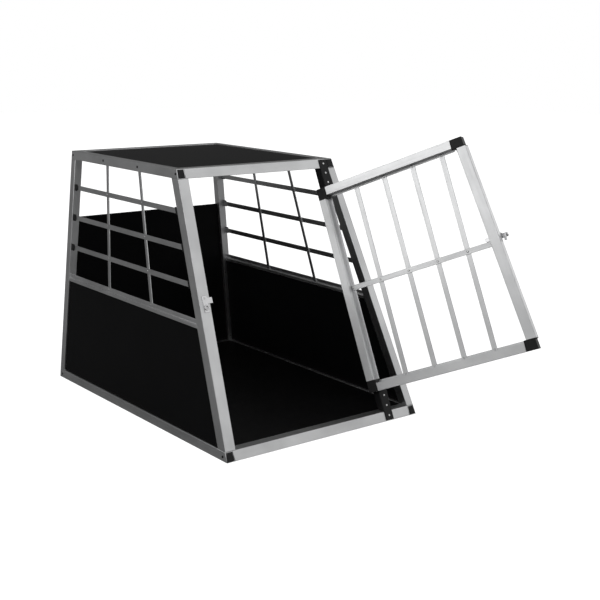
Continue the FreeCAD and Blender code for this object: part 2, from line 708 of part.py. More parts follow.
free_start = {level_name: free_edge(edge) - S["free_corner_reach"]
              for level_name, edge in door_ends.items()}


def corner_edge(along):
    return free_edge(along) - S["free_corner_inset"]


corner_shapes = {
    "hinge_bottom": [(hinge_edge, door_ends["bottom"]), (corner_right, door_ends["bottom"]),
                     (corner_right, low_corner_top), (hinge_edge, low_corner_top)],
    "hinge_top": [(hinge_edge, high_corner_low), (corner_right, high_corner_low),
                  (corner_right, door_ends["top"]), (hinge_edge, door_ends["top"])],
    "free_bottom": [(free_start["bottom"], door_ends["bottom"]),
                    (corner_edge(door_ends["bottom"]), door_ends["bottom"]),
                    (corner_edge(free_low), free_low), (free_start["bottom"], free_low)],
    "free_top": [(free_start["top"], free_high), (corner_edge(free_high), free_high),
                 (corner_edge(door_ends["top"]), door_ends["top"]), (free_start["top"], door_ends["top"])],
}
cap_ends = {"free_bottom": (free_low - S["cap_thickness"], free_low),
            "free_top": (free_high, free_high + S["cap_thickness"])}
for corner_name, corners in corner_shapes.items():
    shallow = corner_name.startswith("free")
    deep = S["free_corner_depth"] if shallow else S["door_thickness"]
    body = flat_piece(f"door_corner_{corner_name}", corners, deep, level=door_inner - deep, placement=DOOR)
    if shallow:
        low, high = cap_ends[corner_name]
        cap = [(free_edge(low) - S["free_stile_width"], low), (free_edge(low), low),
               (free_edge(high), high), (free_edge(high) - S["free_stile_width"], high)]
        pad(body, outline(body, "XY_Plane", [cap], offset=door_outer, tag="cap"), S["door_thickness"])
    else:
        level_name = corner_name.split("_")[1]
        round_hole(body, "XZ_Plane", (Size(0), Size(0)), S["pin_radius"] + S["pin_clearance"],
                   Size(160), offset=-door_ends[level_name])

bar_low = door_ends["bottom"] + S["door_rail_height"] + S["fit_gap"]
bar_high = door_ends["top"] - S["door_rail_height"] - S["fit_gap"]
clear_width = free_edge(door_ends["top"]) - S["free_stile_width"] - stile_right
bar_centres = [stile_right + clear_width * (S["first_door_bar_share"] + S["door_bar_pitch_share"] * step)
               for step in range(4)]
half = S["door_bar_width"] / 2
for number, centre in enumerate(bar_centres, start=1):
    flat_piece(f"door_bar_{number}", [(centre - half, bar_low), (centre + half, bar_low),
                                      (centre + half, bar_high), (centre - half, bar_high)],
               S["door_bar_thickness"], level=flange_face, placement=DOOR)
cross_face = flange_face + S["door_bar_thickness"]
cross_level = S["latch_level"] - S["cross_bar_drop"]
cross_low, cross_high = cross_level - half, cross_level + half
cross_left = stile_right + S["cross_bar_gap"]
cross_right = free_edge(cross_high) - S["free_stile_width"] - S["cross_bar_gap"]
flat_piece("door_cross_bar", [(cross_left, cross_low), (cross_right, cross_low),
                              (cross_right, cross_high), (cross_left, cross_high)],
           S["door_bar_thickness"], level=cross_face, placement=DOOR)
end_spots = [cross_left + S["rivet_inset"], cross_right - S["rivet_inset"]]
studs("cross_bar_spacers", [(DOOR, (r, cross_level, flange_face), (0, 0, 1)) for r in end_spots],
      S["rivet_radius"], S["door_bar_thickness"])
rivet_face = cross_face + S["door_bar_thickness"]
door_spots = [(DOOR, (r, cross_level, rivet_face), (0, 0, 1)) for r in bar_centres + end_spots]
for centre in bar_centres:
    for along in (bar_low + S["rivet_inset"], bar_high - S["rivet_inset"]):
        door_spots.append((DOOR, (centre, along, cross_face), (0, 0, 1)))
studs("bar_rivets", door_spots, S["small_rivet_radius"], S["rivet_height"])
merge_last("door_rivets", 2)

# ----------------------------------------------------------------------- latch
ring = doc.addObject("Part::Cylinder", "ring_blank")
ring.setExpression("Radius", S["ring_radius"].text)
ring.setExpression("Height", S["ring_thickness"].text)
hole = doc.addObject("Part::Cylinder", "ring_hole")
hole.Height = 10
hole.setExpression("Radius", (S["shaft_radius"] + S["shaft_clearance"]).text)
for item, start in ((ring, door_outer - S["ring_thickness"]), (hole, door_outer - 7)):
    item.Placement = DOOR.multiply(FreeCAD.Placement(
        FreeCAD.Vector(latch_spot[0].value, latch_spot[1].value, start.value), FreeCAD.Rotation()))
lock = doc.addObject("Part::Cut", "latch_ring")
lock.Label = "latch_ring"
lock.Base = ring
lock.Tool = hole
doc.recompute()
register(lock)
shaft_start = door_outer - S["handle_stand_off"]
nut_face = door_outer + wall + S["nut_gap"]
studs("latch_shaft", [(DOOR, (latch_spot[0], latch_spot[1], shaft_start), (0, 0, 1))],
      S["shaft_radius"], nut_face - shaft_start)
wide = S["handle_width"] / 2
near, far = latch_spot[0] - S["handle_grip"], latch_spot[0] + S["handle_reach"]
low, high = latch_spot[1] - wide, latch_spot[1] + wide
cut = S["latch_corner"]
flat_piece("latch_handle",
           [(near, low + cut), (near + cut, low), (far - cut, low), (far, low + cut),
            (far, high - cut), (far - cut, high), (near + cut, high), (near, high - cut)],
           S["handle_thickness"], level=shaft_start - S["handle_thickness"], placement=DOOR)
near, far = latch_spot[0] - S["cam_tail"], latch_spot[0] + S["cam_reach"]
low, high = latch_spot[1] - S["cam_shoulder"], latch_spot[1] + S["cam_shoulder"]
tip = latch_spot[1] - S["cam_drop"]
hook = far - S["cam_width"]
arm_top = tab_low - S["cam_tab_clearance"]
cam_face = S["cam_gap"] - S["hinge_depth"]
cam = flat_piece("latch_cam",
                 [(near, low), (hook, low), (hook, tip), (far, tip), (far, arm_top), (hook, arm_top),
                  (latch_spot[0] + S["cam_tail"], high), (near, high)],
                 S["cam_thickness"], level=cam_face, placement=DOOR)
round_hole(cam, "XY_Plane", latch_spot, S["shaft_radius"], S["cam_thickness"] * 4, offset=cam_face)
nut_corners = [(latch_spot[0] + S["nut_radius"] * math.cos(math.radians(60 * step)),
                latch_spot[1] + S["nut_radius"] * math.sin(math.radians(60 * step))) for step in range(6)]
flat_piece("latch_nut", nut_corners, S["nut_height"], level=nut_face, placement=DOOR)

# ---------------------------------------------------------------------- export
doc.recompute()
os.makedirs("parts", exist_ok=True)
for item in doc.Objects:
    if "Invalid" in item.State or "Error" in item.State:
        raise RuntimeError(f"{item.Label} did not build: {item.State}")
for node in NODES:
    if node.Shape.isNull() or not node.Shape.isValid() or not node.Shape.Solids:
        raise RuntimeError(f"{node.Label} has no valid solid")
    node.Shape.exportStep(f"parts/{node.Label}.step")
print(len(NODES), "nodes written")
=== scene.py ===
"""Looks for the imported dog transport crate: rounded metal, laminate, fixings and a studio."""

import json
import math

import bmesh
import bpy
import numpy as np
from mathutils import Matrix, Vector


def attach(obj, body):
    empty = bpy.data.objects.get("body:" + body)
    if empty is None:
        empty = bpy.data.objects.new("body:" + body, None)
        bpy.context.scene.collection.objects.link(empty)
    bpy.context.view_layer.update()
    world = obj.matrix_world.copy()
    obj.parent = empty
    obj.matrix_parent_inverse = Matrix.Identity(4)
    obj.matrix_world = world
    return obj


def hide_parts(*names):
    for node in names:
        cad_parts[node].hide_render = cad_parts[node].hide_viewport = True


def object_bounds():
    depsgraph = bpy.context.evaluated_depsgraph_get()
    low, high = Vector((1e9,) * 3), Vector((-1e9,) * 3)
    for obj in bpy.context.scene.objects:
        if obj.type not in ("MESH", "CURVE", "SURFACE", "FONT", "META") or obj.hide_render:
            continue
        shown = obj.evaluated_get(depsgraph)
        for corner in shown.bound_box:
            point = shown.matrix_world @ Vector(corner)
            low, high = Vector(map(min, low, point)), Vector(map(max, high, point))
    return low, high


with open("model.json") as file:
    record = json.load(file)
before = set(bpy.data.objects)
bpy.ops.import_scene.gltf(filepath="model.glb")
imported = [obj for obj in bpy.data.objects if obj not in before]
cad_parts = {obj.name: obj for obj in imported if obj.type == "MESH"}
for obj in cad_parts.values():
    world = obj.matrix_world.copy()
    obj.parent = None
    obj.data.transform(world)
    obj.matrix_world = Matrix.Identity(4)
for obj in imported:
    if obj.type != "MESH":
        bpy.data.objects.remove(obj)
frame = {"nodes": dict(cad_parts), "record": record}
START_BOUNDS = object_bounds()

bl_info = {
    "name": "Dog Transport Crate",
    "version": (1, 0, 0),
    "blender": (4, 5, 0),
    "location": "View3D > Sidebar > Crate",
    "description": "Dresses a packed dog transport crate and sets up a studio around it",
    "category": "Object",
}

NODES = sorted(frame["nodes"])
BODY_OF = {node: body
           for body, nodes in frame["record"]["behaviour"]["bodies"].items() for node in nodes}
SLOT_OF = {row["node"]: row["material_slot"] for row in frame["record"]["subparts"]}
FIXINGS = {
    "steel_fixings": ("grille_rivets", "rail_rivets", "hinge_rivets", "frame_screws", "door_rivets"),
    "black_plastic": ("screw_dots",),
}


WELD_DISTANCE = 1e-6
FLAT_ANGLE = math.radians(0.4)
BEVEL_ANGLE = math.radians(25)
NARROW_SHARE = 0.9
PALE_DUST = (0.45, 0.43, 0.4)
DARK_DUST = (0.2, 0.19, 0.17)
METAL_DUST_SHARE = 0.25
HEAD_SHARE = 0.995
HEAD_PROFILE = ((1.0, 0.0), (1.0, 0.35), (0.84, 0.72), (0.5, 0.94))


# ------------------------------------------------------------------- settings
class CrateLook(bpy.types.PropertyGroup):
    """Every size and strength that the operators below read."""

    tube_radius: bpy.props.FloatProperty(
        name="Tube edge radius", description="Rounding of the extruded tubes' long edges",
        default=0.0011, min=0.0001, unit="LENGTH")
    board_radius: bpy.props.FloatProperty(
        name="Board edge radius", description="Rounding of the board edges",
        default=0.0006, min=0.0001, unit="LENGTH")
    plastic_radius: bpy.props.FloatProperty(
        name="Plastic edge radius", description="Rounding of the moulded corners, posts and clips",
        default=0.0014, min=0.0001, unit="LENGTH")
    bar_radius: bpy.props.FloatProperty(
        name="Bar edge radius", description="Rounding of the flat bars' edges",
        default=0.0006, min=0.0001, unit="LENGTH")
    edge_steps: bpy.props.IntProperty(
        name="Edge steps", description="Segments in each rounded edge", default=2, min=1, max=6)
    grain_scale: bpy.props.FloatProperty(
        name="Grain scale", description="Streaks per metre across an extruded surface", default=900.0)
    grain_depth: bpy.props.FloatProperty(
        name="Grain depth", description="Strength of the streak relief", default=0.12, subtype="FACTOR")
    pebble_scale: bpy.props.FloatProperty(
        name="Pebble scale", description="Laminate pebbles per metre", default=420.0)
    dust_height: bpy.props.FloatProperty(
        name="Dust height", description="How far up from the floor the dust reaches",
        default=0.08, unit="LENGTH")
    dome_steps: bpy.props.IntProperty(
        name="Dome steps", description="Segments around a rivet head", default=20, min=8, max=48)
    key_power: bpy.props.FloatProperty(
        name="Key power", description="Power of the front lamp in watts", default=14.0)
    side_power: bpy.props.FloatProperty(
        name="Side power", description="Power of the two side lamps in watts", default=14.0)
    sky_strength: bpy.props.FloatProperty(
        name="Sky strength", description="Strength of the even light from all around",
        default=0.10)
    floor_size: bpy.props.FloatProperty(
        name="Floor size", description="Side of the studio floor", default=24.0, unit="LENGTH")


def look():
    return bpy.context.scene.crate_look


# ------------------------------------------------------------- shader effects
def new_group(name, inputs, outputs):
    tree = bpy.data.node_groups.new(name, "ShaderNodeTree")
    for label, kind, value in inputs:
        socket = tree.interface.new_socket(label, in_out="INPUT", socket_type=kind)
        if value is not None:
            socket.default_value = value
    for label, kind in outputs:
        tree.interface.new_socket(label, in_out="OUTPUT", socket_type=kind)
    start = tree.nodes.new("NodeGroupInput")
    end = tree.nodes.new("NodeGroupOutput")
    return tree, start, end


def math_node(tree, operation, first, second=None):
    node = tree.nodes.new("ShaderNodeMath")
    node.operation = operation
    for slot, value in enumerate((first, second)):
        if value is None:
            continue
        if isinstance(value, (int, float)):
            node.inputs[slot].default_value = value
        else:
            tree.links.new(value, node.inputs[slot])
    return node.outputs[0]


def ranged(tree, value, low, high, to_low, to_high):
    node = tree.nodes.new("ShaderNodeMapRange")
    tree.links.new(value, node.inputs["Value"])
    numbers = {"From Min": low, "From Max": high, "To Min": to_low, "To Max": to_high}
    for label, number in numbers.items():
        node.inputs[label].default_value = number
    return node.outputs["Result"]


def noise(tree, vector, scale, detail=2.0, roughness=0.5):
    node = tree.nodes.new("ShaderNodeTexNoise")
    tree.links.new(vector, node.inputs["Vector"])
    if isinstance(scale, (int, float)):
        node.inputs["Scale"].default_value = scale
    else:
        tree.links.new(scale, node.inputs["Scale"])
    node.inputs["Detail"].default_value = detail
    node.inputs["Roughness"].default_value = roughness
    return node.outputs["Fac"]


def extrusion_grain():
    """Fine streaks that run along a piece, with slow clouding over them."""
    name = "Extrusion Grain"
    if name in bpy.data.node_groups:
        return bpy.data.node_groups[name]
    tree, start, end = new_group(
        name,
        [("Scale", "NodeSocketFloat", 900.0), ("Depth", "NodeSocketFloat", 0.12)],
        [("Streaks", "NodeSocketFloat"), ("Clouds", "NodeSocketFloat"), ("Normal", "NodeSocketVector")])
    grain = tree.nodes.new("ShaderNodeAttribute")
    grain.attribute_name = "grain"
    stretch = tree.nodes.new("ShaderNodeVectorMath")
    stretch.operation = "MULTIPLY"
    tree.links.new(grain.outputs["Vector"], stretch.inputs[0])
    stretch.inputs[1].default_value = (0.012, 1.0, 1.0)
    streaks = noise(tree, stretch.outputs["Vector"], start.outputs["Scale"], 3.0, 0.6)
    clouds = noise(tree, grain.outputs["Vector"], 7.0, 3.0, 0.55)
    bump = tree.nodes.new("ShaderNodeBump")
    bump.inputs["Distance"].default_value = 0.0002
    tree.links.new(start.outputs["Depth"], bump.inputs["Strength"])
    tree.links.new(streaks, bump.inputs["Height"])
    tree.links.new(streaks, end.inputs["Streaks"])
    tree.links.new(clouds, end.inputs["Clouds"])
    tree.links.new(bump.outputs["Normal"], end.inputs["Normal"])
    return tree


def moulded_skin():
    """A fine pebbled skin with slow variation, for plastic and laminate."""
    name = "Moulded Skin"
    if name in bpy.data.node_groups:
        return bpy.data.node_groups[name]
    tree, start, end = new_group(
        name,
        [("Scale", "NodeSocketFloat", 420.0), ("Depth", "NodeSocketFloat", 0.2)],
        [("Pebbles", "NodeSocketFloat"), ("Clouds", "NodeSocketFloat"), ("Normal", "NodeSocketVector")])
    place = tree.nodes.new("ShaderNodeTexCoord")
    pebbles = noise(tree, place.outputs["Object"], start.outputs["Scale"], 2.0, 0.5)
    clouds = noise(tree, place.outputs["Object"], 5.0, 3.0, 0.6)
    bump = tree.nodes.new("ShaderNodeBump")
    bump.inputs["Distance"].default_value = 0.0004
    tree.links.new(start.outputs["Depth"], bump.inputs["Strength"])
    tree.links.new(pebbles, bump.inputs["Height"])
    tree.links.new(pebbles, end.inputs["Pebbles"])
    tree.links.new(clouds, end.inputs["Clouds"])
    tree.links.new(bump.outputs["Normal"], end.inputs["Normal"])
    return tree


def settled_dust():
    """A broken mask of dust that fades with height and keeps to upward faces."""
    name = "Settled Dust"
    if name in bpy.data.node_groups:
        return bpy.data.node_groups[name]
    tree, start, end = new_group(
        name, [("Height", "NodeSocketFloat", 0.08)], [("Mask", "NodeSocketFloat")])
    place = tree.nodes.new("ShaderNodeTexCoord")
    split = tree.nodes.new("ShaderNodeSeparateXYZ")
    tree.links.new(place.outputs["Object"], split.inputs[0])
    share = math_node(tree, "DIVIDE", split.outputs["Z"], start.outputs["Height"])
    fade = ranged(tree, share, 0.0, 1.0, 1.0, 0.0)
    spots = ranged(tree, noise(tree, place.outputs["Object"], 60.0, 5.0, 0.7), 0.45, 0.75, 0.0, 1.0)
    faces = tree.nodes.new("ShaderNodeNewGeometry")
    tilt = tree.nodes.new("ShaderNodeSeparateXYZ")
    tree.links.new(faces.outputs["Normal"], tilt.inputs[0])
    upward = ranged(tree, tilt.outputs["Z"], 0.3, 1.0, 0.25, 1.0)
    mask = math_node(tree, "MULTIPLY", math_node(tree, "MULTIPLY", fade, spots), upward)
    tree.links.new(mask, end.inputs["Mask"])
    return tree


def group_node(tree, group, **values):
    node = tree.nodes.new("ShaderNodeGroup")
    node.node_tree = group
    for label, value in values.items():
        node.inputs[label].default_value = value
    return node


def mixed(tree, factor, first, second):
    node = tree.nodes.new("ShaderNodeMix")
    node.data_type = "RGBA"
    tree.links.new(factor, node.inputs["Factor"])
    for socket, value in ((node.inputs["A"], first), (node.inputs["B"], second)):
        if isinstance(value, (tuple, list)):
            socket.default_value = (*value, 1.0)
        else:
            tree.links.new(value, socket)
    return node.outputs["Result"]


def new_material(name):
    material = bpy.data.materials.new(name)
    material.use_nodes = True
    tree = material.node_tree
    return material, tree, tree.nodes["Principled BSDF"]


def metal(name, dark, light, rough, depth=None):
    """Extruded or rolled metal: streaked along the piece, dusty near the floor."""
    material, tree, shader = new_material(name)
    settings = look()
    grain = group_node(tree, extrusion_grain(), Scale=settings.grain_scale,
                       Depth=settings.grain_depth if depth is None else depth)
    dust = group_node(tree, settled_dust(), Height=settings.dust_height)
    tone = mixed(tree, ranged(tree, grain.outputs["Clouds"], 0.3, 0.7, 0.0, 1.0), dark, light)
    dusted = math_node(tree, "MULTIPLY", dust.outputs["Mask"], METAL_DUST_SHARE)
    tone = mixed(tree, dusted, tone, PALE_DUST)
    tree.links.new(tone, shader.inputs["Base Color"])
    spread = ranged(tree, grain.outputs["Streaks"], 0.3, 0.7, rough - 0.05, rough + 0.07)
    tree.links.new(spread, shader.inputs["Roughness"])
    tree.links.new(grain.outputs["Normal"], shader.inputs["Normal"])
    shader.inputs["Metallic"].default_value = 1.0
    return material


def dark_skin(name, dark, light, rough, scale, depth, dust_share, gloss):
    """Black plastic or laminate with a pebbled skin."""
    material, tree, shader = new_material(name)
    shader.inputs["Specular IOR Level"].default_value = gloss
    skin = group_node(tree, moulded_skin(), Scale=scale, Depth=depth)
    dust = group_node(tree, settled_dust(), Height=look().dust_height)
    tone = mixed(tree, skin.outputs["Clouds"], dark, light)
    dusted = math_node(tree, "MULTIPLY", dust.outputs["Mask"], dust_share)
    tone = mixed(tree, dusted, tone, DARK_DUST)
    tree.links.new(tone, shader.inputs["Base Color"])
    spread = ranged(tree, skin.outputs["Pebbles"], 0.3, 0.7, rough - 0.06, rough + 0.08)
    tree.links.new(spread, shader.inputs["Roughness"])
    tree.links.new(skin.outputs["Normal"], shader.inputs["Normal"])
    return material


def finish_material(slot):
    """The one material of a record slot, made when it is first asked for."""
    name = f"crate_{slot}"
    if name in bpy.data.materials:
        return bpy.data.materials[name]
    if slot == "aluminium_tube":
        return metal(name, (0.62, 0.625, 0.63), (0.80, 0.805, 0.81), 0.36)
    if slot == "flat_bar":
        return metal(name, (0.58, 0.585, 0.59), (0.74, 0.745, 0.75), 0.33)
    if slot == "latch_metal":
        return metal(name, (0.70, 0.70, 0.71), (0.82, 0.82, 0.83), 0.22, depth=0.03)
    if slot == "steel_fixings":
        return metal(name, (0.66, 0.66, 0.66), (0.80, 0.80, 0.80), 0.26, depth=0.03)
    if slot == "black_board":
        return dark_skin(name, (0.0045, 0.0045, 0.005), (0.008, 0.008, 0.0085), 0.36,
                         look().pebble_scale, 0.10, 0.04, 0.06)
    return dark_skin(name, (0.010, 0.010, 0.0105), (0.018, 0.018, 0.0185), 0.42, 900.0, 0.16, 0.06, 0.25)


# ------------------------------------------------------------- mesh utilities
def clean_mesh(node):
    """The CAD node's surface as a bmesh with flat faces joined up."""
    work = bmesh.new()
    work.from_mesh(frame["nodes"][node].data)
    bmesh.ops.remove_doubles(work, verts=work.verts, dist=WELD_DISTANCE)
    bmesh.ops.dissolve_limit(work, angle_limit=FLAT_ANGLE, verts=work.verts, edges=work.edges)
    bmesh.ops.recalc_face_normals(work, faces=work.faces)
    return work


def mark_grain(mesh):
    """Stores each point's place along and across the piece's longest direction."""
    points = np.array([vertex.co for vertex in mesh.vertices], float)
    middle = points.mean(0)
    _, _, axes = np.linalg.svd(points - middle, full_matrices=False)
    local = (points - middle) @ axes.T + (middle @ np.array((1.7, 2.3, 3.1)))
    layer = mesh.attributes.new("grain", "FLOAT_VECTOR", "POINT")
    layer.data.foreach_set("vector", local.astype(np.float32).ravel())


def settle(obj):
    """Replaces the object's mesh with its evaluated one and drops the modifiers."""
    graph = bpy.context.evaluated_depsgraph_get()
    made = bpy.data.meshes.new_from_object(obj.evaluated_get(graph), depsgraph=graph)
    obj.modifiers.clear()
    old = obj.data
    obj.data = made
    bpy.data.meshes.remove(old)
    return obj


def smooth_narrow_faces(mesh, radius):
    """Shades the narrow strips of rounded edges smooth and leaves the wide faces flat."""
    for polygon in mesh.polygons:
        corners = [mesh.vertices[index].co for index in polygon.vertices]
        around = sum((corners[step] - corners[step - 1]).length for step in range(len(corners)))
        polygon.use_smooth = 2.0 * polygon.area / max(around, 1e-9) < radius * NARROW_SHARE


def rounded_piece(node, radius):
    """A detailed piece that stands for one CAD node, its sharp edges rounded."""
    work = clean_mesh(node)
    mesh = bpy.data.meshes.new(f"{node}_look")
    work.to_mesh(mesh)
    work.free()
    piece = bpy.data.objects.new(f"{node}_look", mesh)
    bpy.context.scene.collection.objects.link(piece)
    bevel = piece.modifiers.new("round", "BEVEL")
    bevel.width = radius
    bevel.segments = look().edge_steps
    bevel.limit_method = "ANGLE"
    bevel.angle_limit = BEVEL_ANGLE
    bevel.use_clamp_overlap = True
    settle(piece)
    smooth_narrow_faces(piece.data, radius)
    mark_grain(piece.data)
    dress(piece, SLOT_OF[node])
    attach(piece, BODY_OF[node])
    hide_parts(node)
    return piece


def dress(piece, slot):
    piece.data.materials.clear()
    piece.data.materials.append(finish_material(slot))


def islands(node):
    """Centre, shortest direction, radius and height of every loose part of a node."""
    work = bmesh.new()
    work.from_mesh(frame["nodes"][node].data)
    bmesh.ops.remove_doubles(work, verts=work.verts, dist=WELD_DISTANCE)
    seen, found = set(), []
    for first in work.verts:
        if first.index in seen:
            continue
        stack, group = [first], []
        seen.add(first.index)
        while stack:
            vertex = stack.pop()
            group.append(vertex.co.copy())
            for edge in vertex.link_edges:
                other = edge.other_vert(vertex)
                if other.index not in seen:
                    seen.add(other.index)
                    stack.append(other)
        found.append(disc_of(group))
    work.free()
    return found


def disc_of(group):
    """Reads a short round stud: its middle, axis, radius and height."""
    points = np.array([tuple(co) for co in group])
    middle = (points.min(0) + points.max(0)) / 2
    spread = points - points.mean(0)
    best = None
    for first in range(0, len(points), max(1, len(points) // 12)):
        for second in range(first + 1, len(points)):
            step = points[second] - points[first]
            size = np.linalg.norm(step)
            if size < 1e-5:
                continue
            reach = np.abs(spread @ (step / size))
            flatness = np.ptp(spread @ (step / size))
            if reach.max() - reach.min() < 2e-5 and (best is None or flatness < best[0]):
                best = (flatness, step / size)
    height, axis = best
    across = spread - np.outer(spread @ axis, axis)
    return Vector(middle), Vector(axis), float(np.linalg.norm(across, axis=1).max()), float(height)


# ---------------------------------------------------------- geometry node tree
def dome_tree():
    """Geometry Nodes: a shallow domed head on every point, turned to its normal."""
    name = "Fixing Heads"
    if name in bpy.data.node_groups:
        return bpy.data.node_groups[name]
    tree = bpy.data.node_groups.new(name, "GeometryNodeTree")
    tree.interface.new_socket("Geometry", in_out="INPUT", socket_type="NodeSocketGeometry")
    named_inputs = (("Radius", "NodeSocketFloat", 0.003), ("Height", "NodeSocketFloat", 0.0012),
                    ("Segments", "NodeSocketInt", 20), ("Material", "NodeSocketMaterial", None))
    for label, kind, value in named_inputs:
        socket = tree.interface.new_socket(label, in_out="INPUT", socket_type=kind)
        if value is not None:
            socket.default_value = value
    tree.interface.new_socket("Geometry", in_out="OUTPUT", socket_type="NodeSocketGeometry")
    start = tree.nodes.new("NodeGroupInput")
    end = tree.nodes.new("NodeGroupOutput")
    layers = []
    for share, level in HEAD_PROFILE:
        layers.append(disc_layer(tree, start, share, level))
    join = tree.nodes.new("GeometryNodeJoinGeometry")
    for layer in layers:
        tree.links.new(layer, join.inputs[0])
    hull = tree.nodes.new("GeometryNodeConvexHull")
    tree.links.new(join.outputs[0], hull.inputs[0])
    smooth = tree.nodes.new("GeometryNodeSetShadeSmooth")
    smooth.inputs["Shade Smooth"].default_value = False
    tree.links.new(hull.outputs[0], smooth.inputs[0])
    turn = tree.nodes.new("FunctionNodeAlignRotationToVector")
    turn.axis = "Z"
    facing = tree.nodes.new("GeometryNodeInputNamedAttribute")
    facing.data_type = "FLOAT_VECTOR"
    facing.inputs["Name"].default_value = "facing"
    tree.links.new(facing.outputs["Attribute"], turn.inputs["Vector"])
    place = tree.nodes.new("GeometryNodeInstanceOnPoints")
    tree.links.new(start.outputs["Geometry"], place.inputs["Points"])
    tree.links.new(smooth.outputs[0], place.inputs["Instance"])
    tree.links.new(turn.outputs["Rotation"], place.inputs["Rotation"])
    real = tree.nodes.new("GeometryNodeRealizeInstances")
    tree.links.new(place.outputs[0], real.inputs[0])
    paint = tree.nodes.new("GeometryNodeSetMaterial")
    tree.links.new(real.outputs[0], paint.inputs["Geometry"])
    tree.links.new(start.outputs["Material"], paint.inputs["Material"])
    tree.links.new(paint.outputs[0], end.inputs[0])
    return tree


def scaled_ring(tree, start, share):
    ring = tree.nodes.new("GeometryNodeMeshCircle")
    tree.links.new(start.outputs["Segments"], ring.inputs["Vertices"])
    scale = tree.nodes.new("ShaderNodeMath")
    scale.operation = "MULTIPLY"
    scale.inputs[1].default_value = share
    tree.links.new(start.outputs["Radius"], scale.inputs[0])
    tree.links.new(scale.outputs[0], ring.inputs["Radius"])
    return ring


def disc_layer(tree, start, share, level):
    """One circle of the head's profile, at a share of its radius and height."""
    ring = scaled_ring(tree, start, share)
    lift = tree.nodes.new("ShaderNodeMath")
    lift.operation = "MULTIPLY"
    lift.inputs[1].default_value = level
    tree.links.new(start.outputs["Height"], lift.inputs[0])
    up = tree.nodes.new("ShaderNodeCombineXYZ")
    tree.links.new(lift.outputs[0], up.inputs["Z"])
    move = tree.nodes.new("GeometryNodeTransform")
    tree.links.new(ring.outputs[0], move.inputs["Geometry"])
    tree.links.new(up.outputs[0], move.inputs["Translation"])
    return move.outputs[0]


def point_cloud(name, spots):
    """A mesh of loose points with the way each fixing faces."""
    mesh = bpy.data.meshes.new(name)
    mesh.from_pydata([tuple(middle) for middle, _ in spots], [], [])
    layer = mesh.attributes.new("facing", "FLOAT_VECTOR", "POINT")
    layer.data.foreach_set("vector", [part for _, axis in spots for part in axis])
    piece = bpy.data.objects.new(name, mesh)
    bpy.context.scene.collection.objects.link(piece)
    return piece


def set_input(modifier, label, value):
    for item in modifier.node_group.interface.items_tree:
        if item.item_type == "SOCKET" and item.in_out == "INPUT" and item.name == label:
            modifier[item.identifier] = value
            return
    raise RuntimeError(f"the node tree has no input called {label}")


def domed_fixings(node, slot):
    """Domed heads in the place of a CAD node's plain studs."""
    found = islands(node)
    radius, height = found[0][2], found[0][3]
    centre = Vector((0.0, START_MIDDLE[1], START_MIDDLE[2]))
    spots = []
    for middle, axis, _, tall in found:
        facing = axis if is_outward(node, middle, axis, centre) else -axis
        spots.append((middle - facing * tall / 2, facing))
    piece = point_cloud(f"{node}_look", spots)
    modifier = piece.modifiers.new("heads", "NODES")
    modifier.node_group = dome_tree()
    set_input(modifier, "Radius", radius * HEAD_SHARE)
    set_input(modifier, "Height", height)
    set_input(modifier, "Segments", look().dome_steps)
    set_input(modifier, "Material", finish_material(slot))
    settle(piece)
    mark_grain(piece.data)
    dress(piece, slot)
    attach(piece, BODY_OF[node])
    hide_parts(node)
    return piece


def is_outward(node, middle, axis, centre):
    """True when the axis points away from what the fixing is set in."""
    if node == "door_rivets":
        return axis.dot(door_side()) > 0
    if node == "frame_screws" and abs(axis.y) > 0.99:
        return axis.y < 0
    if node == "rail_rivets":
        return axis.z > 0
    return (middle - centre).dot(axis) > 0


def door_side():
    """The way the door's inner side faces, from the latch joint's axis."""
    for joint in frame["record"]["behaviour"]["joints"]:
        if joint["name"] == "latch_turn":
            return Vector(joint["axis"])
    raise RuntimeError("the record has no latch joint")


LOW, HIGH = START_BOUNDS
START_MIDDLE = [(low + high) / 2 for low, high in zip(LOW, HIGH)]


# -------------------------------------------------------------------- pieces
TUBES = [node for node in NODES if node.startswith(("bottom_rail", "top_rail", "upright", "mid_rail"))]
DOOR_TUBES = ["door_stile_hinge", "door_stile_free", "door_rail_top", "door_rail_bottom"]
BOARDS = ["board_left", "board_right", "board_rear", "floor_board", "roof_board"]
BARS = [node for node in NODES
        if node.startswith(("grille_bar", "grille_slats", "door_bar", "door_cross"))]
MOULDED = [node for node in NODES
           if node.startswith(("door_corner", "hinge_post", "hinge_plate", "rail_end_plugs",
                               "grille_clips"))]
LATCH = ["latch_keeper", "latch_ring", "latch_handle", "latch_cam"]


class CRATE_OT_tubes(bpy.types.Operator):
    """Round the extruded rails and uprights of the frame and the door"""
    bl_idname = "crate.tubes"
    bl_label = "Build tubes"

    def execute(self, context):
        for node in TUBES:
            rounded_piece(node, look().tube_radius)
        for node in DOOR_TUBES:
            rounded_piece(node, look().bar_radius)
        return {"FINISHED"}


class CRATE_OT_boards(bpy.types.Operator):
    """Soften the laminated boards' edges"""
    bl_idname = "crate.boards"
    bl_label = "Build boards"

    def execute(self, context):
        for node in BOARDS:
            rounded_piece(node, look().board_radius)
        return {"FINISHED"}


class CRATE_OT_bars(bpy.types.Operator):
    """Round the edges of the flat bars in the grilles and the door"""
    bl_idname = "crate.bars"
    bl_label = "Build flat bars"

    def execute(self, context):
        for node in BARS:
            rounded_piece(node, look().bar_radius)
        return {"FINISHED"}


class CRATE_OT_mouldings(bpy.types.Operator):
    """Round the black moulded corners, posts, plugs and clips"""
    bl_idname = "crate.mouldings"
    bl_label = "Build mouldings"

    def execute(self, context):
        for node in MOULDED:
            rounded_piece(node, look().plastic_radius)
        return {"FINISHED"}


